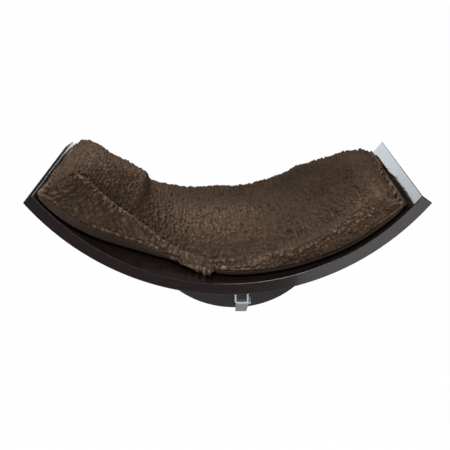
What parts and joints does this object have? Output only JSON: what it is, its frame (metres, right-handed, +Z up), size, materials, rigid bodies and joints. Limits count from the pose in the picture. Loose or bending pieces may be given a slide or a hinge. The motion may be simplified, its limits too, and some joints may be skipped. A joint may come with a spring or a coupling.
{
  "type": "wall-mounted cat perch",
  "caption": "Curved wall shelf for a cat, carried by a half-moon wall plate and a steel bracket, with a lift-off plush cushion.",
  "frame": {"origin": "centre of the four wall screw holes, in the wall plane", "axes": "+Y into the wall, +Z up, +X to the right of someone who faces the wall"},
  "size_m": [0.5606, 0.27, 0.3523],
  "materials": {
    "shelf_lacquer": "gloss espresso lacquer",
    "plate_lacquer": "satin espresso lacquer",
    "bracket_steel": "zinc plated",
    "zinc_screws": "zinc plated",
    "insert_brass": "turned",
    "beech": "bare",
    "hook_tape": "nylon hooks",
    "loop_tape": "nylon loops",
    "sherpa": "curly brown pile",
    "base_cloth": "smooth brown cloth",
    "filling": "polyester fibre"
  },
  "bodies": {
    "perch": {"shelf_board": "shelf_lacquer", "wall_plate": "plate_lacquer", "shelf_screws": "zinc_screws", "locating_dowels": "beech", "bracket_arm": "bracket_steel", "bracket_strap": "bracket_steel", "bracket_rivets": "bracket_steel", "arm_washers": "zinc_screws", "arm_screws": "zinc_screws", "shelf_inserts": "insert_brass", "strap_screws": "zinc_screws", "hook_strips": "hook_tape"},
    "cushion": {"cushion_cover": "sherpa", "cushion_base": "base_cloth", "cushion_filling": "filling", "loop_strips": "loop_tape"}
  },
  "joints": [
    {"name": "cushion_lift", "type": "slide", "parent": "perch", "child": "cushion", "axis": [0, 0, 1], "range_m": [0, 0.15]}
  ]
}
